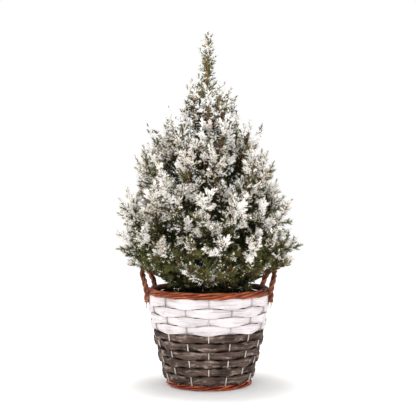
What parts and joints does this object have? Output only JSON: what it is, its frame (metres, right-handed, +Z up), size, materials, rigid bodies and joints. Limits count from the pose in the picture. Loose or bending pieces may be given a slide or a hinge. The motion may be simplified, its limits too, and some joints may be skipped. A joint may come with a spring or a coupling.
{
  "type": "potted dwarf spruce",
  "caption": "Small cone-shaped dwarf spruce dusted with snow, in a round two-tone basket woven from wood splints with two ear handles and a willow rim.",
  "frame": {"origin": "middle of the flat underside of the basket's base board", "axes": "+Z up along the trunk, +X to the right handle as seen from the front, -Y to the front"},
  "size_m": [0.3161, 0.3035, 0.5994],
  "materials": {
    "foliage": "matt needles, dusted with snow",
    "bark": "rough bark",
    "soil": "crumbly, moist",
    "willow": "satin bark, steamed",
    "white_splint": "thin white paint",
    "grey_splint": "weathered, matt",
    "stakes": "bare, matt"
  },
  "bodies": {
    "root": {"base_with_stakes": "stakes", "foot_ring": "willow", "splint_course_01": "grey_splint", "splint_course_02": "grey_splint", "splint_course_03": "grey_splint", "splint_course_04": "grey_splint", "splint_course_05": "grey_splint", "splint_course_06": "grey_splint", "splint_course_07": "white_splint", "splint_course_08": "white_splint", "splint_course_09": "white_splint", "splint_course_10": "white_splint", "rim": "willow", "handle_left": "willow", "handle_right": "willow", "soil": "soil", "trunk": "bark", "bough_middle_1": "bark", "bough_middle_2": "bark", "bough_middle_3": "bark", "bough_middle_4": "bark", "bough_middle_5": "bark", "bough_middle_6": "bark", "mass_skirt_1": "foliage", "mass_skirt_2": "foliage", "mass_skirt_3": "foliage", "mass_skirt_4": "foliage", "mass_skirt_5": "foliage", "mass_skirt_6": "foliage", "mass_low_1": "foliage", "mass_low_2": "foliage", "mass_low_3": "foliage", "mass_low_4": "foliage", "mass_low_5": "foliage", "mass_low_6": "foliage", "mass_middle_1": "foliage", "mass_middle_2": "foliage", "mass_middle_3": "foliage", "mass_middle_4": "foliage", "mass_middle_5": "foliage", "mass_middle_6": "foliage", "mass_high_1": "foliage", "mass_high_2": "foliage", "mass_high_3": "foliage", "mass_high_4": "foliage", "mass_high_5": "foliage", "mass_upper_1": "foliage", "mass_upper_2": "foliage", "mass_upper_3": "foliage", "mass_upper_4": "foliage", "mass_upper_5": "foliage", "mass_top_1": "foliage", "mass_top_2": "foliage", "mass_top_3": "foliage", "mass_top_4": "foliage", "mass_spire_1": "foliage", "mass_spire_2": "foliage", "mass_spire_3": "foliage", "mass_leader": "foliage"}
  },
  "joints": []
}
